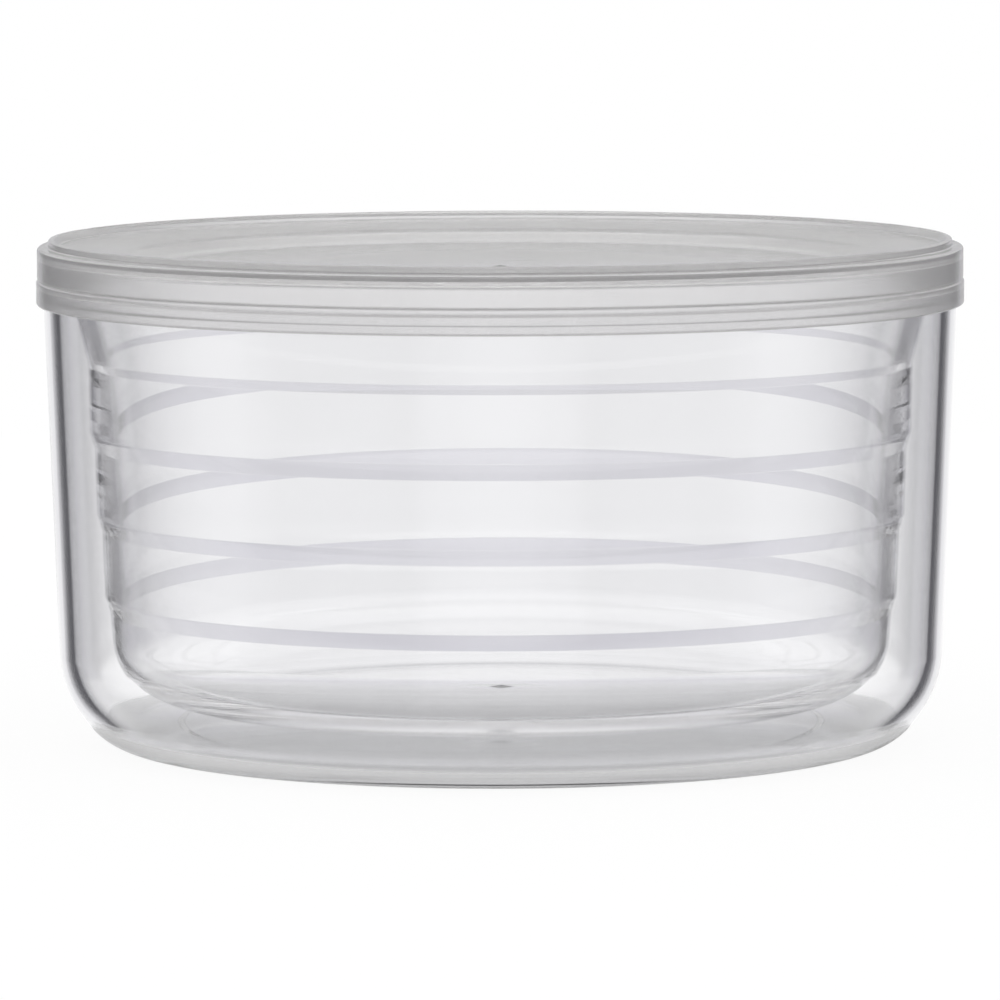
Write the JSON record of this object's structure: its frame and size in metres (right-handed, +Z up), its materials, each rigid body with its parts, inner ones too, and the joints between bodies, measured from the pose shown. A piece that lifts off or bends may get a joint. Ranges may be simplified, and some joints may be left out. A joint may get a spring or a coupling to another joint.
{
  "type": "food storage bowl",
  "caption": "Round clear double-walled food bowl with a stepped inner bowl, a sealed air gap and a frosted press-on lid with a raised ring and sunken panel.",
  "frame": {"origin": "centre of the bowl's foot ring, on the surface it stands on", "axes": "+Z up along the bowl's axis of symmetry; X and Y are any two directions across it"},
  "size_m": [0.1544, 0.1544, 0.0843],
  "materials": {
    "clear_outer": "clear polished copolyester",
    "clear_inner": "clear polished copolyester",
    "frosted_lid": "frosted translucent polyethylene, satin"
  },
  "bodies": {
    "bowl": {"outer_bowl": "clear_outer", "inner_bowl": "clear_inner"},
    "lid": {"lid": "frosted_lid"}
  },
  "joints": [
    {"name": "lid_lift", "type": "slide", "parent": "bowl", "child": "lid", "axis": [0, 0, 1], "range_m": [0, 0.06]}
  ]
}
